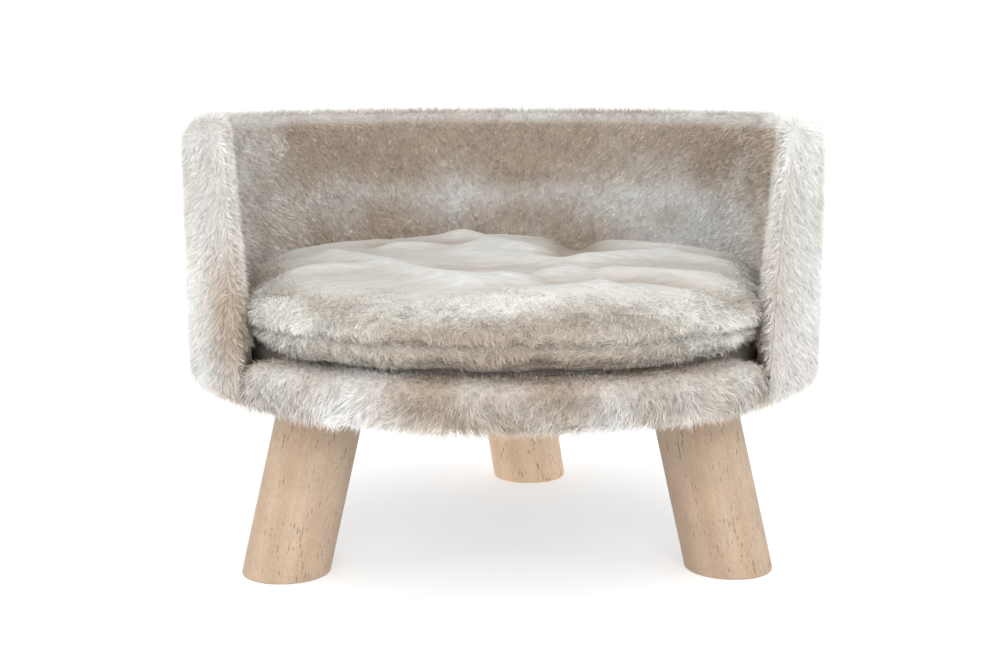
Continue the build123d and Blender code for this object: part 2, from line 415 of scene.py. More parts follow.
seat_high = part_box("seat_cover")[1]
seat_radius = seat_high.x
seat_height = seat_high.z
seat_foam_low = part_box("seat_foam")[0].z
seat_edge = 0.007
seat_hub = 0.004
seat_rim = seat_radius - 0.0005
seat_top = seat_height - 0.0008
seat_rise = np.linspace(0, math.pi / 2, 7)
seat_profile = np.concatenate(
    [
        np.stack([np.linspace(seat_hub, seat_rim, 14), np.full(14, seat_foam_low)], 1),
        np.stack(
            [
                seat_rim - seat_edge * (1 - np.cos(seat_rise)),
                seat_top - seat_edge * (1 - np.sin(seat_rise)),
            ],
            1,
        ),
        np.stack([np.linspace(seat_radius - 0.010, seat_hub, 26), np.full(26, seat_top)], 1),
    ]
)
seat_turn = np.linspace(0, 2 * math.pi, 121)[:-1]
seat_points = np.stack(
    [
        seat_profile[:, None, 0] * np.sin(seat_turn),
        -seat_profile[:, None, 0] * np.cos(seat_turn),
        np.repeat(seat_profile[:, 1:], len(seat_turn), axis=1),
    ],
    axis=-1,
)
seat_pad = closed_piece("seat_pad", seat_points)
seat_plush, tree = new_material("seat_plush", Roughness=0.85, Sheen_Weight=0.25, Sheen_Roughness=0.4)
places = object_places(tree)
knap = noise(places, 1700.0, 3.0).clamped(0.3, 0.7)
shading = noise(places, 55.0, 3.0).clamped(0.3, 0.7)
connect(
    seat_plush,
    Base_Color=(0.84 + 0.16 * knap).times(shading.colour((0.30, 0.255, 0.205), (0.38, 0.33, 0.275))),
    Normal=bumped(knap + 1.5 * shading, 0.0006),
)
seat_pad.data.materials.append(seat_plush)
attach(seat_pad, "tub")
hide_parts("seat_foam", "seat_cover")


# ---------------------------------------------------------------- Wall padding
# Foam wraps the bent board inside and out and is folded over its top, and the fur is glued and
# stapled tight over it. Each arm thins to a rounded front edge, which leans away from the opening.

cover_low, cover_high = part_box("wall_outer_cover")
tub_radius = cover_high.x - 0.002
wall_top = cover_high.z - 0.002
underside = cover_low.z
opening_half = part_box("front_band_cover")[1].x
board_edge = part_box("wall_shell")[1].x - 0.003
board_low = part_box("seat_board")[0].z
board_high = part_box("seat_board")[1].z


def arc(middle_r, middle_z, radius, start, stop, count):
    """Points on a circle in the plane of radius and height, between two angles in degrees."""
    turn = np.radians(np.linspace(start, stop, count))
    return np.stack([middle_r + radius * np.cos(turn), middle_z + radius * np.sin(turn)], 1)


def run(start, stop, count):
    """Points on the straight line from start to just before stop."""
    share = np.linspace(0, 1, count + 1)[:-1, None]
    return np.array(start) + share * (np.array(stop) - np.array(start))


def half_opening(height):
    """Half the front opening's width at a height: it widens a little towards the top."""
    return opening_half + 0.005 + 0.065 * (height - seat_height)


wall_inner = seat_radius + 0.0015
wall_flare = 0.007
hem_radius = 0.196
outer_edge = 0.016
inner_edge = 0.010
hem_edge = 0.006
hem_back = board_low - 0.0002
hem_face = underside + 0.0005
foam_floor = board_high + 0.002
top_inner = wall_inner + wall_flare


def round_board(under_steps, upper, inside):
    """Outline of padding round the board's edge: out from the hem, up round the corner, over the
    upper part that is given, which ends at the inside radius, and back along the board."""
    return np.concatenate(
        [
            run((hem_radius, hem_back), (hem_radius, hem_face), 2),
            run((hem_radius, hem_face), (tub_radius - hem_edge, hem_face), under_steps),
            arc(tub_radius - hem_edge, hem_face + hem_edge, hem_edge, -90, 0, 6),
            *upper,
            run((inside, foam_floor), (board_edge, foam_floor), 3),
            run((board_edge, foam_floor), (board_edge, hem_back), 3),
            run((board_edge, hem_back), (hem_radius, hem_back), 4),
        ]
    )


wall_profile = round_board(
    10,
    [
        run((tub_radius, underside + 0.010), (tub_radius, wall_top - outer_edge), 36),
        arc(tub_radius - outer_edge, wall_top - outer_edge, outer_edge, 0, 90, 12),
        arc(top_inner + inner_edge, wall_top - inner_edge, inner_edge, 90, 180, 10),
        run((top_inner, wall_top - inner_edge - 0.004), (wall_inner, seat_height), 26),
        run((wall_inner, seat_height), (wall_inner, foam_floor), 3),
    ],
    wall_inner,
)
# Columns of the skin lie closer together towards both arms' front edges.
along = np.linspace(0, 1, 321)
along -= 0.15 * np.sin(2 * math.pi * along)
profile_r = wall_profile[None, :, 0]
profile_z = wall_profile[None, :, 1]
tip_angle = np.arcsin(half_opening(profile_z) / tub_radius)
angle = tip_angle + (2 * math.pi - 2 * tip_angle) * along[:, None]
from_tip = tub_radius * np.minimum(angle - tip_angle, 2 * math.pi - tip_angle - angle)
# The wedge between the outside and the opening's slanted end gets a round nose, and blends
# into the full thickness of the wall by a soft minimum.
nose = 0.010
least = 0.0004
wedge = np.maximum(tub_radius - half_opening(profile_z) / np.maximum(np.abs(np.sin(angle)), 0.2), 0)
wedge = np.where(np.cos(angle) < 0, 1.0, wedge)
wedge = np.sqrt(wedge * (wedge + 2 * nose)) + least
full = tub_radius - wall_inner
thickness = (wedge**-6 + full**-6) ** (-1 / 6)
nose_inset = 0.0035 * np.exp(-from_tip / 0.010)
# The wall rises a little towards the arms, and the top front corner of each arm is rounded,
# seen from the side.
corner = 0.027
past_corner = np.clip(from_tip / corner, 0, 1)
drop = corner * (1 - np.sqrt(1 - (1 - past_corner) ** 2))
height_share = (profile_z - underside) / (wall_top - underside)
lift = 0.0055 * np.clip(np.cos(angle), 0, 1)
wall_z = profile_z + (lift - drop) * np.clip(height_share, 0, 1) ** 3
wall_r = tub_radius - (tub_radius - profile_r) * thickness / full - nose_inset
wall_points = np.stack([wall_r * np.sin(angle), -wall_r * np.cos(angle), wall_z], axis=-1)
# Hand-stuffed foam is never quite even.
swell = soft_noise(wall_points.reshape(-1, 3), 0.07, 3).reshape(wall_r.shape) - 0.5
free = np.clip((profile_z - board_high) / 0.02, 0, 1) * np.clip(from_tip / 0.03, 0, 1)
wall_points *= (1 + 0.012 * swell * free)[..., None] ** np.array([1, 1, 0])
wall_padding = closed_piece("wall_padding", wall_points)


# ---------------------------------------------------------------- Front band padding
# Between the arms the foam only wraps the front edge of the seat board, so the tub is low
# there. Its ends are tucked in beside the arms.

band_top = seat_height - 0.0100
band_edge = 0.012
band_profile = round_board(
    8,
    [
        run((tub_radius, underside + 0.008), (tub_radius, band_top - band_edge), 6),
        arc(tub_radius - band_edge, band_top - band_edge, band_edge, 0, 90, 10),
        run((tub_radius - band_edge - 0.002, band_top), (seat_radius, band_top), 8),
        run((seat_radius, band_top), (seat_radius, foam_floor), 3),
    ],
    seat_radius,
)
band_half_angle = math.asin((opening_half + 0.003) / tub_radius)
band_turn = np.linspace(-band_half_angle, band_half_angle, 141)[:, None]
band_r = band_profile[None, :, 0]
band_z = band_profile[None, :, 1]
tuck = np.exp(-((band_half_angle - np.abs(band_turn)) / 0.035) ** 2)
band_r = band_r - 0.006 * tuck * (band_r - seat_radius) / (tub_radius - seat_radius)
band_dip = 0.005 * tuck * np.clip((band_z - board_high) / (band_top - board_high), 0, 1)
band_points = np.stack([band_r * np.sin(band_turn), -band_r * np.cos(band_turn)], axis=-1)
band_points = np.concatenate([band_points, (band_z - band_dip)[..., None]], axis=-1)
sag = soft_noise(band_points.reshape(-1, 3), 0.06, 9).reshape(band_points.shape[:2]) - 0.5
band_points *= (1 + 0.014 * sag * (band_z > board_low + 0.002))[..., None] ** np.array([1, 1, 0])
band_padding = closed_piece("front_band_padding", band_points)


# ---------------------------------------------------------------- Fur covers of the tub
# Long-pile faux fur dyed in soft patches, off-white and taupe: one panel round the outside and
# over the top edge, one inside the wall and round the arm ends, and a strip on the front band.
# Short under-hair and longer guard hair are sewn into the same backing.

def turned(points):
    """Angle of each point round the tub, in degrees from the front towards the right."""
    return np.degrees(np.arctan2(points[:, 0], -points[:, 1]))


def dyed(points, base, patches, roughness, seed):
    """How much taupe dye each point has, 0 to 1: a base amount, plus patches that fade out from
    their middle, plus noise at three sizes. A patch is an angle, a height, their spreads, and
    the dye that it adds."""
    amount = np.full(len(points), base)
    angles = turned(points)
    for middle, height, spread, rise, added in patches:
        aside = (angles - middle + 180) % 360 - 180
        amount += added * np.exp(-((aside / spread) ** 2) - ((points[:, 2] - height) / rise) ** 2)
    for size, share in ((0.055, 1.0), (0.022, 0.6), (0.009, 0.35)):
        amount += roughness * share * (soft_noise(points, size, seed) - 0.5)
    return np.clip(amount, 0, 1)


outer_dye = (
    (-53, 0.190, 7, 0.050, 0.84),
    (-50, 0.145, 5, 0.022, 0.20),
    (-57, 0.128, 8, 0.012, 0.22),
    (-51, 0.280, 5, 0.030, 0.56),
    (52, 0.215, 5, 0.045, 0.58),
    (49, 0.150, 4, 0.030, 0.42),
    (53, 0.270, 5, 0.025, 0.42),
    (120, 0.200, 16, 0.036, 0.34),
    (150, 0.270, 16, 0.030, 0.34),
    (165, 0.165, 20, 0.028, 0.32),
    (190, 0.235, 15, 0.040, 0.40),
    (215, 0.160, 15, 0.032, 0.32),
    (228, 0.275, 17, 0.028, 0.36),
    (250, 0.205, 13, 0.036, 0.30),
    (180, 0.313, 110, 0.008, 0.20),
)
inner_dye = (
    (180, 0.244, 75, 0.012, -0.38),
    (186, 0.240, 10, 0.016, -0.24),
    (148, 0.231, 12, 0.022, -0.40),
    (126, 0.214, 18, 0.026, -0.50),
    (218, 0.253, 16, 0.012, -0.22),
    (106, 0.225, 28, 0.050, -0.66),
    (-104, 0.235, 30, 0.055, -0.52),
    (-150, 0.235, 14, 0.020, -0.30),
    (180, 0.313, 90, 0.006, -0.50),
    (-56, 0.285, 12, 0.040, -0.95),
    (-55, 0.225, 9, 0.026, -0.60),
    (-55, 0.165, 9, 0.020, -0.35),
    (56, 0.270, 14, 0.050, -0.95),
    (54, 0.200, 10, 0.035, -0.65),
)
band_dye_and_painted_shadow = (
    (-26, 0.147, 10, 0.028, -1.0),
    (-42, 0.145, 7, 0.022, -0.62),
    (17, 0.145, 5, 0.022, -0.70),
    (33, 0.142, 7, 0.014, -0.30),
    (44, 0.150, 4, 0.020, -0.30),
    (0, 0.127, 60, 0.007, -0.30),
    # Painted shadow: a darker strip along the band's top, under the cushion.
    (0, 0.166, 34, 0.006, 0.25),
)


def wall_dye(points):
    """Dye on the wall: the outer panel's where a point is outside or on top, else the inner's."""
    radius = off_axis(points)
    inside = np.clip((tub_radius - 0.006 - radius) / 0.012, 0, 1)
    inside *= np.clip((wall_top - 0.002 - points[:, 2]) / 0.008, 0, 1)
    behind = np.clip((np.abs(turned(points)) - 75) / 40, 0, 1)
    behind *= np.clip((wall_top - 0.004 - points[:, 2]) / 0.03, 0, 1)
    outer = dyed(points, 0.09 + 0.12 * behind, outer_dye, 0.35 + 0.95 * behind, 11)
    inner = dyed(points, 0.95, inner_dye, 0.75, 12)
    return outer + (inner - outer) * inside


def band_dye_and_painted_shadow_at(points):
    """Dye on the front band, with a painted shadow along its top under the cushion."""
    return dyed(points, 0.90, band_dye_and_painted_shadow, 0.70, 13)


def stored(tree, name):
    """A number stored at a piece's vertices."""
    return tree.node("ShaderNodeAttribute", {"attribute_name": name}, output=2)


def fur_colour(tree, tip):
    """The fur's colour from its dye, darker towards the root, with each hair a little different.
    The darker roots are partly the dye and partly painted shade deep in the pile.
    """
    dye = stored(tree, "dye")
    light = dye.colour((0.85, 0.85, 0.835), (0.70, 0.60, 0.50))
    dark = dye.colour((0.70, 0.69, 0.665), (0.29, 0.22, 0.165))
    return tip.colour(dark, light)


pile_fur, tree = new_material("dyed_fur_pile", Roughness=0.8, Specular_IOR_Level=0.15)
tip = stored(tree, "tip")
tone = stored(tree, "tone")
connect(pile_fur, Base_Color=(0.66 + 0.54 * tone).times(fur_colour(tree, tip)))

backing_fur, tree = new_material("dyed_fur_ground", Roughness=0.95, Specular_IOR_Level=0.1)
knap = noise(object_places(tree), 1300.0, 3.0).clamped(0.25, 0.75)
connect(
    backing_fur,
    Base_Color=fur_colour(tree, 0.25 + 0.45 * knap),
    Normal=bumped(knap, 0.001),
)


def scatter(piece, count, rng):
    """Random points all over a mesh, with the smooth normals there: triangles are drawn by their
    area, and a point lies in its triangle by two random shares folded into it."""
    mesh = piece.data
    mesh.calc_loop_triangles()
    corners = np.empty(len(mesh.loop_triangles) * 3, np.int32)
    mesh.loop_triangles.foreach_get("vertices", corners)
    corners = corners.reshape(-1, 3)
    spots = vertex_rows(piece.data)
    normals = vertex_rows(mesh, "normal")
    a, b, c = (spots[corners[:, i]] for i in range(3))
    area = np.linalg.norm(np.cross(b - a, c - a), axis=1)
    drawn = np.searchsorted(np.cumsum(area) / area.sum(), rng.random(count))
    shares = rng.random((count, 2))
    shares = np.where(shares.sum(1, keepdims=True) > 1, 1 - shares, shares)
    weights = np.column_stack([1 - shares.sum(1), shares])
    pick = corners[drawn]
    roots = np.einsum("nk,nkd->nd", weights, spots[pick])
    out = unit(np.einsum("nk,nkd->nd", weights, normals[pick]))
    return roots, out


def along_surface(directions, out):
    """Directions laid flat on the surface whose normals are given."""
    return unit(directions - out * np.sum(directions * out, axis=1, keepdims=True))


def clumped(points, size, seed):
    """A vector at each point towards the nearest high place of a noise field, which draws the
    tips of neighbouring hairs together into locks."""
    step = size * 0.15
    here = soft_noise(points, size, seed)
    slopes = [soft_noise(points + step * axis, size, seed) - here for axis in np.eye(3)]
    return np.stack(slopes, axis=1) / 0.15


def pile(name, body, material, roots, out, comb, length, width, upright, dye, rng, lock, painted_shade_and_dye=0.0):
    """Hairs as narrow tapering blades of five points, bent once: a hair leaves its root between
    the surface's normal and its combed direction, and lies over towards the comb. The lock says
    how far hairs are drawn together. The last value shifts each hair's tone: above zero it
    darkens hairs with their dye, and below zero it makes them paler, as painted light. Each hair
    has its own strip of the map for baking, in the cell that its root falls in."""
    count = len(roots)
    wild = rng.normal(size=(count, 3)) + 1.6 * clumped(roots, 0.0025, 33)
    locks = clumped(roots, 0.0042, 31) + clumped(roots, 0.0120, 32) * 0.8
    locks *= np.reshape(lock, (-1, 1))
    first = unit(out * (upright[:, None] + 0.25) + comb * 0.7 + wild * 0.20 + locks * 0.15)
    second = unit(out * upright[:, None] * 0.75 + comb + wild * 0.36 + locks * 0.7)
    length = length * rng.uniform(0.70, 1.10, count)
    base = roots - out * 0.0006
    middle = base + first * (length * 0.45)[:, None]
    tips = middle + second * (length * 0.55)[:, None]
    twist = rng.normal(0, 0.4, count)[:, None]
    half_width = width * rng.uniform(0.7, 1.2, count) / 2
    side = unit(np.cross(first, out) + out * twist) * half_width[:, None]
    near = middle - side * 0.8
    far = middle + side * 0.8
    points = np.stack([base - side, base + side, near, far, tips], 1)
    start = (np.arange(count) * 5)[:, None]
    corners = (start + np.array([0, 1, 3, 2, 2, 3, 4])).ravel()
    mesh = bpy.data.meshes.new(name)
    mesh.vertices.add(count * 5)
    mesh.vertices.foreach_set("co", points.astype(np.float32).ravel())
    mesh.loops.add(count * 7)
    mesh.loops.foreach_set("vertex_index", corners.astype(np.int32))
    mesh.polygons.add(count * 2)
    first_corner = ((np.arange(count) * 7)[:, None] + np.array([0, 4])).ravel()
    mesh.polygons.foreach_set("loop_start", first_corner.astype(np.int32))
    mesh.update()
    mesh.shade_smooth()
    piece = added_object(name, mesh)
    set_values(piece, "tip", np.tile([0.0, 0.0, 0.6, 0.6, 1.0], count))
    set_values(piece, "dye", np.repeat(np.clip(dye + rng.normal(0, 0.07, count), 0, 1), 5))
    grain = soft_noise(roots, 0.0024, 35) - 0.5
    # Random tone and grain, shifted by the painted light and the darker dye given to the piece.
    tone = 0.5 + (0.12 + 0.2 * lock) * (rng.random(count) - 0.5) + 1.4 * lock * grain - painted_shade_and_dye
    set_values(piece, "tone", np.repeat(np.clip(tone, 0, 1), 5))
    # The map is cut into cells round the tub and up its height, with five strips in each.
    cells = 64
    column = np.floor((turned(roots) / 360 + 0.5) * cells).clip(0, cells - 1)
    height = (roots[:, 2] - roots[:, 2].min()) / np.ptp(roots[:, 2])
    row = np.floor(height * cells).clip(0, cells - 1)
    strip = rng.integers(0, 5, count)
    left = (column + 0.04 + strip * 0.19) / cells
    low = (row + 0.06) / cells
    across = np.array([0, 0.16, 0.16, 0, 0, 0.16, 0.08]) / cells
    upward = np.array([0, 0, 0.5, 0.5, 0.5, 0.5, 0.88]) / cells
    layout = mesh.uv_layers.new(name="OFBake")
    places = np.stack([left[:, None] + across, low[:, None] + upward], axis=-1)
    layout.data.foreach_set("uv", places.astype(np.float32).ravel())
    mesh.materials.append(material)
    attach(piece, body)
    return piece


hair_share = 1.0
up = np.array([0.0, 0.0, 1.0])


def end_face(roots, out):
    """How far each point is on an arm's slanted end, which faces the opening: 0 or up to 1."""
    facing = np.clip((-out[:, 0] * np.sign(roots[:, 0]) - 0.15) / 0.5, 0, 1)
    return facing * (np.abs(turned(roots)) < 66)


def combed_wall(roots, out):
    """Pile direction on the wall: down the outside and inside, inwards over the top, and on the
    ends of the arms into the opening, with slow swirls. Near an arm's front edge, the outside
    is combed round the edge too."""
    radial = outward(roots)
    round_right = np.cross(up, radial)
    side = np.sign(roots[:, :1])
    near_tip = np.exp(-((np.abs(turned(roots)) - 50) / 9) ** 2)[:, None]
    end = end_face(roots, out)[:, None]
    on_top = np.clip(out[:, 2:], 0, 1)
    swirl = (soft_noise(roots, 0.06, 21) + soft_noise(roots, 0.025, 22) - 1.0)[:, None]
    into_opening = -side * np.array([1.0, 0.0, 0.0])
    directions = -up + round_right * swirl * 1.1
    directions -= (1 - end) * near_tip * round_right * side * 0.30
    directions += end * 0.40 * into_opening
    directions += on_top * (up * 1.2 - radial * 0.4)
    return along_surface(directions, out)


rng = np.random.default_rng(2024)
wall_count = int(370000 * hair_share)
roots, out = scatter(wall_padding, wall_count, rng)
radius = off_axis(roots)
# No hair grows where the padding lies against the board or the seat.
hidden = (radius < board_edge + 0.002) & (roots[:, 2] < seat_height - 0.004)
roots, out, radius = roots[~hidden], out[~hidden], radius[~hidden]
comb = combed_wall(roots, out)
dye = wall_dye(roots)
facing_out = np.sum(out * outward(roots), axis=1)
end = end_face(roots, out)
is_inner = (radius < tub_radius - 0.004) & (roots[:, 2] < wall_top - 0.008) & (facing_out < 0.55)
ridge = np.exp(-((np.abs(turned(roots)) - 51) / 5) ** 2) * (1 - end)
guard = rng.random(len(roots)) < 0.45
short = np.clip(-facing_out, 0, 1) * (1 - end)
length = np.where(guard, 0.0098, 0.0072) * (1 - 0.32 * short - 0.28 * end)
length += 0.0015 * np.clip((underside + 0.012 - roots[:, 2]) / 0.012, 0, 1)
upright = (0.36 + 0.30 * rng.random(len(roots))) * (1 - 0.5 * ridge) + 1.5 * short + 0.1 * end
upright += 0.25 * np.clip(out[:, 2], 0, 1)
width = np.where(guard, 0.00040, 0.00050) * np.where(is_inner, 1.0, 0.84)
lock = np.where(is_inner, 1.4 - 0.95 * end, 0.45)
# Painted light: below zero, the last value given to the hairs makes them paler, as if more
# light fell on them: on the arms' ends, inside along both sides, and all round the outside,
# more on the left than on the right.
beside = np.exp(-((np.abs(turned(roots)) - 100) / 28) ** 2) * (1 - end)
painted_shade_and_dye = np.where(is_inner, -0.22 * end - 0.28 * beside, -0.10 + 0.05 * roots[:, 0] / tub_radius)
for panel, chosen, layers in (("outer", ~is_inner, 4), ("inner", is_inner, 3)):
    for layer in range(layers):
        mine = chosen & (np.arange(len(roots)) % layers == layer)
        piece = pile(
            f"{panel}_fur_pile_{layer + 1}", "tub", pile_fur, roots[mine], out[mine], comb[mine],
            length[mine], width[mine], upright[mine], dye[mine], rng, lock[mine], painted_shade_and_dye[mine],
        )
        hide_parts(f"wall_{panel}_cover")

for piece, dye_at, nodes in (
    (wall_padding, wall_dye, ("wall_foam",)),
    (band_padding, band_dye_and_painted_shadow_at, ("front_band_foam",)),
):
    set_values(piece, "dye", dye_at(vertex_rows(piece.data)))
    piece.data.materials.append(backing_fur)
    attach(piece, "tub")
    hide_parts(*nodes)

band_count = int(62000 * hair_share)
roots, out = scatter(band_padding, band_count, rng)
radius = off_axis(roots)
hidden = (radius < board_edge + 0.002) & (out[:, 2] < 0.5)
roots, out = roots[~hidden], out[~hidden]
radial = outward(roots)
sweep = (soft_noise(roots, 0.045, 23) + 0.6 * soft_noise(roots, 0.02, 24) - 0.8)[:, None] * 2.6
on_top = np.clip(out[:, 2:] * 1.3, 0, 1)
directions = -up * (1 - on_top) + np.cross(up, radial) * sweep * (1 - on_top) + radial * on_top
comb = along_surface(directions, out)
upright = (0.42 + 0.3 * rng.random(len(roots))) * (1 - 0.6 * on_top[:, 0])
guard = rng.random(len(roots)) < 0.6
length = np.where(guard, 0.0115, 0.0085) * (1 - 0.55 * on_top[:, 0])
width = np.where(guard, 0.00040, 0.00050)
dye = band_dye_and_painted_shadow_at(roots)
piece = pile(
    "front_band_fur_pile", "tub", pile_fur, roots, out, comb, length, width, upright,
    dye, rng, lock=0.9, painted_shade_and_dye=0.28 * dye,
)
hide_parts("front_band_cover")


# ---------------------------------------------------------------- Cushion
# A loose round cushion filled with fibre. At the back it fills the tub, and at the front it
# bulges between the arms. Its two plush panels meet in a low seam, and the top is slack and
# rumpled in long soft folds.

cushion_base, seam_height = (corner.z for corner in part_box("cushion_bottom_panel"))
cushion_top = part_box("cushion_top_panel")[1].z
cushion_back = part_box("cushion_top_panel")[1].y - 0.001
cushion_front = -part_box("cushion_top_panel")[0].y - 0.001
cushion_half_width = 0.1715
cushion_crown = cushion_top - 0.004


def cushion_reach(turn):
    """Plan of the cushion: distance from its middle to its edge at each angle from the front.
    The front is the smaller of a round front and the straight sides along the arms, blended by a
    soft minimum, and it is never less than the round back."""
    beside_arms = cushion_half_width / np.maximum(np.abs(np.sin(turn)), 0.1)
    front = (cushion_front**-36 + beside_arms**-36) ** (-1 / 36)
    front = np.where(np.cos(turn) > 0, front, 0.01)
    return (front**24 + cushion_back**24) ** (1 / 24)


cushion_turn = np.linspace(0, 2 * math.pi, 181)[:-1]
share = np.linspace(0.02, 1, 30)
under = np.stack([share, cushion_base + (seam_height - cushion_base) * share**14], 1)
over_turn = np.linspace(0, math.pi / 2, 36)[1:]
over_share = np.cos(over_turn) ** 0.24
over_share[-1] = 0.02
over_height = seam_height + (cushion_crown - seam_height) * np.sin(over_turn) ** 0.6
cushion_profile = np.concatenate([under, np.stack([over_share, over_height], 1)])
reach = cushion_reach(cushion_turn)
cushion_points = np.stack(
    [
        cushion_profile[:, :1] * reach * np.sin(cushion_turn),
        -cushion_profile[:, :1] * reach * np.cos(cushion_turn),
        np.repeat(cushion_profile[:, 1:], len(cushion_turn), axis=1),
    ],
    axis=-1,
)
cushion = closed_piece("cushion", cushion_points)


def baked_copy(piece):
    """The piece's mesh with its modifiers applied."""
    depsgraph = bpy.context.evaluated_depsgraph_get()
    return bpy.data.meshes.new_from_object(piece.evaluated_get(depsgraph))


def puffed(piece, voxel, pressure, most):
    """Blows the piece up softly by cloth simulation: it is remeshed into even cells and inflated
    for twenty frames. No point moves further than most, and the mesh is subdivided once."""
    scene = bpy.context.scene
    frames = 20
    remesh = piece.modifiers.new("even_cells", "REMESH")
    remesh.mode = "VOXEL"
    remesh.voxel_size = voxel
    piece.data = baked_copy(piece)
    piece.modifiers.clear()
    before = vertex_rows(piece.data)
    cloth = piece.modifiers.new("stuffing", "CLOTH")
    fabric = cloth.settings
    fabric.quality = 6
    fabric.mass = 0.25
    fabric.tension_stiffness = 12
    fabric.compression_stiffness = 12
    fabric.bending_stiffness = 0.4
    fabric.use_pressure = True
    fabric.uniform_pressure_force = pressure
    fabric.effector_weights.gravity = 0.0
    cloth.point_cache.frame_start = 1
    cloth.point_cache.frame_end = frames
    for step in range(1, frames + 1):
        scene.frame_set(step)
    shift = vertex_rows(baked_copy(piece)) - before
    size = np.linalg.norm(shift, axis=1, keepdims=True)
    shift *= np.minimum(1, most / np.maximum(size, 1e-9))
    piece.modifiers.clear()
    scene.frame_set(1)
    piece.data.vertices.foreach_set("co", (before + shift).astype(np.float32).ravel())
    piece.data.update()
    smooth = piece.modifiers.new("even_surface", "SUBSURF")
    smooth.levels = 1
    smooth.render_levels = 1
    piece.data = baked_copy(piece)
    piece.modifiers.clear()
    piece.data.shade_smooth()


puffed(cushion, 0.0045, 4.0, 0.006)

# Folds in the top, in millimetres: two ends, the height of the ridge (negative for a valley)
# and its half width. Every fold is made higher and wider by the same two factors.
fold_rise = 1.3
fold_spread = 1.45
folds = (
    ((-178, -96), (-84, -73), 4.0, 8),
    ((-84, -73), (-26, -146), 4.2, 8),
    ((-26, -146), (46, -100), 3.4, 9),
    ((-170, -128), (-128, -156), 2.4, 9),
    ((-150, -122), (-112, -170), -3.6, 7),
    ((-70, -205), (0, -192), 2.8, 8),
    ((0, -192), (62, -162), 3.2, 9),
    ((62, -162), (116, -190), 3.2, 9),
    ((8, -106), (40, -142), -2.8, 8),
    ((50, -142), (80, -122), -3.0, 7),
    ((80, -122), (166, -142), -3.4, 7),
    ((74, -100), (168, -112), 3.0, 9),
    ((60, -44), (118, -12), 5.0, 12),
    ((118, -12), (178, -56), 4.4, 12),
    ((-124, -8), (-80, -68), 4.2, 11),
    ((-182, -44), (-106, -66), -3.4, 8),
    ((-88, 76), (-42, 98), -8.0, 13),
    ((-80, 44), (-34, 132), 4.5, 12),
    ((-34, 132), (8, 34), 4.5, 14),
    ((62, 190), (54, -6), -7.0, 12),
    ((64, 196), (57, 110), -7.0, 10),
    ((-96, 158), (-6, 182), 3.5, 26),
    ((92, 160), (128, 138), 3.0, 26),
    ((-20, 20), (30, -44), 2.6, 16),
    ((-160, 50), (-100, 92), 3.0, 15),
    ((110, 62), (168, 24), 3.0, 15),
    ((-40, -60), (20, -60), -2.6, 12),
)


def fold_height(points):
    """Rise of the rumpled top at each point: every fold is a bell across its line, which fades
    out past its ends. Ridges that meet blend by a soft maximum, valleys by a soft minimum, and
    noise adds slack."""
    flat = points[:, :2] * 1000
    ridge = np.zeros(len(points))
    valley = np.zeros(len(points))
    for start, stop, rise, half in folds:
        line = np.array(stop, float) - start
        along_line = ((flat - start) @ line) / (line @ line)
        nearest = np.array(start, float) + np.clip(along_line, 0, 1)[:, None] * line
        away = np.linalg.norm(flat - nearest, axis=1)
        bell = rise * np.exp(-((away / (fold_spread * half)) ** 2))
        ridge = np.cbrt(ridge**3 + np.maximum(bell, 0) ** 3)
        valley = -np.cbrt(-(valley**3) - np.minimum(bell, 0) ** 3)
    slack = 1.6 * (soft_noise(points * np.array([0.4, 1.0, 0.0]), 0.024, 41) - 0.5)
    return (fold_rise * (ridge + valley) + slack) / 1000


spots = vertex_rows(cushion.data)
spots[:, 2] = np.maximum(spots[:, 2], cushion_base)
# The simulation rounds the plan, so each direction is stretched out to its full reach again.
turn = np.arctan2(spots[:, 0], -spots[:, 1])
limit = cushion_reach(turn)
sectors = 90
sector = np.floor((turn / (2 * math.pi) + 0.5) * sectors).astype(int).clip(0, sectors - 1)
widest = np.zeros(sectors)
np.maximum.at(widest, sector, off_axis(spots) / limit)
widest = (np.roll(widest, 1) + 2 * widest + np.roll(widest, -1)) / 4
sector_middle = ((np.arange(sectors) + 0.5) / sectors - 0.5) * 2 * math.pi
spots[:, :2] /= np.interp(turn, sector_middle, widest, period=2 * math.pi)[:, None]
edge_share = off_axis(spots) / limit
from_middle = edge_share * limit
aside = np.abs(np.degrees(turn))
topness = np.clip((spots[:, 2] - seam_height) / (cushion_crown - seam_height), 0, 1) ** 2
# The top stands a little higher in the middle, and along the wall, where it is squeezed.
crown = 0.0035 * (1 - edge_share.clip(0, 1) ** 4)
squeezed = 0.0065 * np.exp(-(((edge_share - 0.98) / 0.075) ** 2))
squeezed *= np.clip((aside - 62) / 25, 0, 1)
squeezed *= 1 - 0.55 * np.clip((aside - 120) / 40, 0, 1)
spots[:, 2] += topness * (crown + fold_height(spots)) + topness**0.4 * squeezed
# Both front corners curl up a little under the arms.
curl = np.exp(-(((aside - 50) / 7) ** 2)) * np.clip((edge_share - 0.85) / 0.1, 0, 1)
spots[:, 2] += 0.003 * curl * (1 - topness)
# In front, the lower half hangs over the band.
droop = np.clip((from_middle - seat_radius + 0.008) / 0.012, 0, 1)
droop *= np.clip((62 - aside) / 8, 0, 1)
droop *= np.clip((seam_height + 0.002 - spots[:, 2]) / 0.006, 0, 1)
spots[:, 2] -= 0.0080 * droop
# The seam draws the side in all round, and the side is lumpy.
near_edge = np.clip((edge_share - 0.75) / 0.2, 0, 1)
groove = np.exp(-(((spots[:, 2] - seam_height - 0.001) / 0.0028) ** 2)) * near_edge
lumps = (soft_noise(spots, 0.035, 44) - 0.5) * near_edge
scale = 1 + (0.005 * lumps - 0.0055 * groove) / from_middle.clip(0.02)
scale = np.minimum(scale, (limit + 0.0008) / from_middle.clip(0.02))
spots[:, :2] *= scale[:, None]
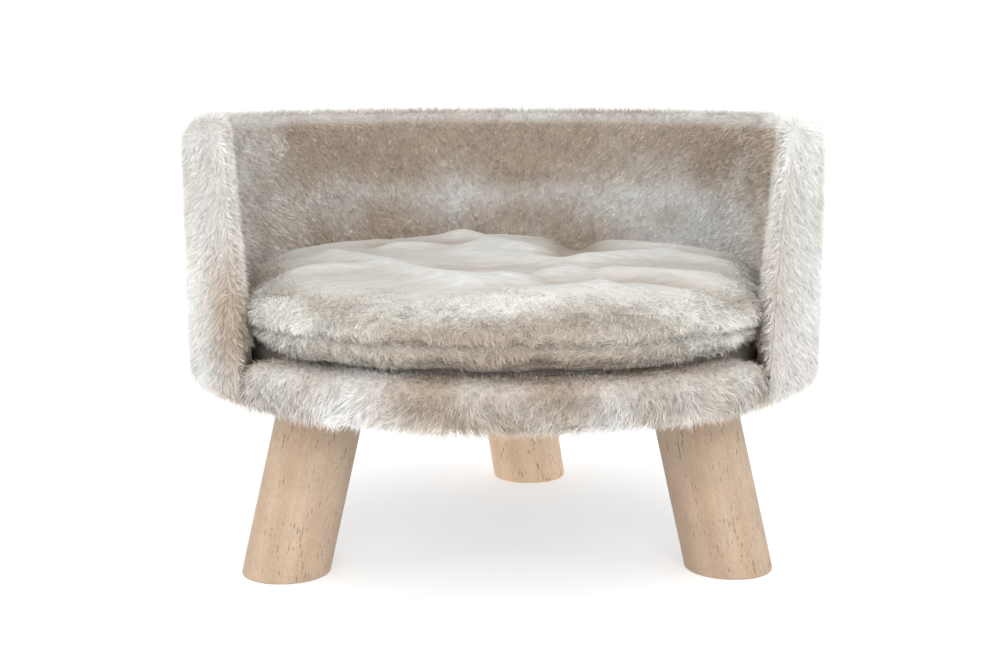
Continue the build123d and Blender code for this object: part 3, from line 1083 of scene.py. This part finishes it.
# The underside is let in round the zip, up to the back of its tapes.
tape_low, tape_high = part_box("zip_tapes")
tape_middle = np.array((tape_low + tape_high) / 2)
tape_half = np.array((tape_high - tape_low) / 2)
past_tape = (np.abs(spots - tape_middle) - tape_half)[:, :2].max(1)
let_in = np.clip((0.0035 - past_tape) / 0.0025, 0, 1)
let_in *= spots[:, 2] < tape_high.z + 0.001
spots[:, 2] += let_in * np.maximum(tape_high.z + 0.0003 - spots[:, 2], 0)
cushion.data.vertices.foreach_set("co", spots.astype(np.float32).ravel())
cushion.data.update()

# Dyed patches, in millimetres: middle, spread along each axis, and the dye that each adds.
# The long one low on the front is partly dye and partly painted shade on the lower roll.
cushion_patches = (
    ((-150, -140, 190), (34, 60, 30), -0.50),
    ((135, -160, 190), (26, 50, 30), -0.45),
    ((10, -214, 188), (75, 26, 13), 0.58),
    ((-60, -205, 184), (40, 26, 8), 0.25),
    # Partly dye and partly painted shade: the lower roll under the seam.
    ((0, -212, 170), (150, 30, 7), 0.55),
    ((96, -195, 197), (24, 26, 8), 0.25),
    ((-10, 20, 208), (45, 90, 30), -0.30),
    ((-120, 70, 208), (60, 60, 30), 0.22),
    ((60, 60, 208), (30, 90, 30), 0.22),
    ((-64, 88, 208), (20, 16, 30), 0.40),
    ((150, 20, 208), (30, 80, 30), 0.15),
    ((0, 165, 208), (160, 30, 30), 0.15),
    ((0, -150, 210), (180, 42, 14), -0.18),
)


def cushion_dye_and_painted_shade(points):
    """Dye on the cushion, with painted light and shade: a pale base, painted paler on the ridges
    and darker in the valleys of the folds, soft patches, and noise drawn out left to right."""
    # Painted light on the ridges of the top and painted shade in its valleys.
    amount = 0.42 - 115 * fold_height(points) * np.clip((points[:, 2] - 0.190) / 0.008, 0, 1)
    here = points * 1000
    for middle, spread, added in cushion_patches:
        amount += added * np.exp(-np.sum(((here - middle) / spread) ** 2, axis=1))
    for size, share in ((0.05, 0.32), (0.018, 0.22)):
        amount += share * (soft_noise(points * np.array([0.5, 1, 1]), size, 45) - 0.5)
    return np.clip(amount, 0, 1)


def plush_colour(tip):
    """The cushion's colour from its dye: cream where it is pale, beige where it is dyed. It is
    darker towards the hairs' roots, partly their own colour and partly painted shade deep in the pile.
    """
    dye = stored(tip, "dye")
    light = dye.colour((0.67, 0.66, 0.625), (0.45, 0.38, 0.31))
    dark = dye.colour((0.60, 0.585, 0.545), (0.28, 0.22, 0.17))
    return tip.colour(dark, light)


plush_pile, tree = new_material("cushion_plush_pile", Roughness=0.8, Specular_IOR_Level=0.15)
tip = stored(tree, "tip")
tone = stored(tree, "tone")
connect(plush_pile, Base_Color=(1.02 + 0.36 * tone).times(plush_colour(tip)))

plush_ground, tree = new_material(
    "cushion_plush_ground", Roughness=0.9, Specular_IOR_Level=0.1, Sheen_Weight=0.15
)
places = object_places(tree)
knap = noise(places, 1500.0, 3.0).clamped(0.25, 0.75)
stroked = noise(stretched(places, 0.35, 1.0, 1.0), 240.0, 3.0).clamped(0.25, 0.75)
connect(
    plush_ground,
    Base_Color=(0.76 + 0.18 * stroked).times(plush_colour(0.35 + 0.2 * knap + 0.3 * stroked)),
    Normal=bumped(knap * 0.6 + stroked, 0.0005),
)
cushion.data.materials.clear()
cushion.data.materials.append(plush_ground)
# The stored dye also holds the painted light and shade of the folds.
set_values(cushion, "dye", cushion_dye_and_painted_shade(vertex_rows(cushion.data)))
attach(cushion, "cushion")
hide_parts("cushion_filling", "cushion_bottom_panel")

cushion_count = int(520000 * hair_share)
roots, out = scatter(cushion, cushion_count, rng)
edge_share = off_axis(roots) / cushion_reach(np.arctan2(roots[:, 0], -roots[:, 1]))
ragged = 0.06 * (soft_noise(roots, 0.018, 48) - 0.5)
tufted = np.clip((edge_share + ragged - 0.80) / 0.19, 0, 1) * (roots[:, 1] < 0.02)
tufted = np.maximum(tufted, np.clip((0.6 - out[:, 2]) / 0.3, 0, 1) * (edge_share > 0.9))
above = (roots[:, 2] > cushion_base + 0.002) | (out[:, 2] > -0.8)
rim = np.clip((edge_share - 0.86) / 0.08, 0, 1) * (out[:, 2] < 0.97)
thinned = rng.random(len(roots))
kept = above & ((thinned < tufted * 1.2) | (thinned < 0.4 * rim))
roots, out, tufted = roots[kept], out[kept], tufted[kept]
radial = outward(roots)
sweep = (soft_noise(roots, 0.020, 46) - 0.5)[:, None]
swirl = (soft_noise(roots, 0.012, 47) - 0.5)[:, None]
directions = np.array([0.25, -1.0, 0.0]) + np.cross(up, radial) * sweep * (1 + 3 * tufted[:, None])
directions += up * tufted[:, None] * (2.2 * swirl - 0.5)
comb = along_surface(directions, out)
hanging = np.clip((seam_height - roots[:, 2]) / 0.006, 0, 1)
length = 0.0015 + 0.0043 * tufted + 0.0012 * hanging
width = np.full(len(roots), 0.00045)
upright = 0.12 + 0.60 * tufted * rng.random(len(roots))
dye = cushion_dye_and_painted_shade(roots)
every_other = np.arange(len(roots)) % 2 == 0
for label, mine, lock in (
    ("top_plush", tufted <= 0.5, 0.3),
    ("side_plush_1", (tufted > 0.5) & every_other, 0.9),
    ("side_plush_2", (tufted > 0.5) & ~every_other, 0.9),
):
    piece = pile(
        f"cushion_{label}", "cushion", plush_pile, roots[mine], out[mine], comb[mine],
        length[mine], width[mine], upright[mine], dye[mine], rng, lock=lock,
    )
    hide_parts("cushion_top_panel")


# ---------------------------------------------------------------- Zip under the cushion
# A nylon coil zip in the underside lets the filling out for washing: woven tapes, the coil, and
# a plated slider with its pull.

def ribbed(places, scale):
    """Even ribs across the zip, from 0 to 1."""
    return places.node(
        "ShaderNodeTexWave", {"bands_direction": "X"}, {"Vector": places, "Scale": scale}
    )


tape, tree = new_material("woven_zip_tape", Roughness=0.85)
ribs = ribbed(object_places(tree), 260.0).clamped(0.2, 0.8)
connect(
    tape,
    Base_Color=ribs.colour((0.50, 0.46, 0.41), (0.66, 0.62, 0.56)),
    Normal=bumped(ribs, 0.0001),
)
paint("zip_tapes", tape)

coil, tree = new_material("nylon_zip_coil", Roughness=0.4)
teeth = ribbed(object_places(tree), 250.0)
connect(
    coil,
    Base_Color=teeth.clamped(0.2, 0.8).colour((0.42, 0.38, 0.33), (0.68, 0.64, 0.58)),
    Normal=bumped(teeth, 0.0004),
)
paint("zip_coil", coil)
nickel = plated_steel("nickel_plate", (0.60, 0.58, 0.55))
for node in ("zip_stops", "zip_slider", "zip_pull"):
    paint(node, nickel)
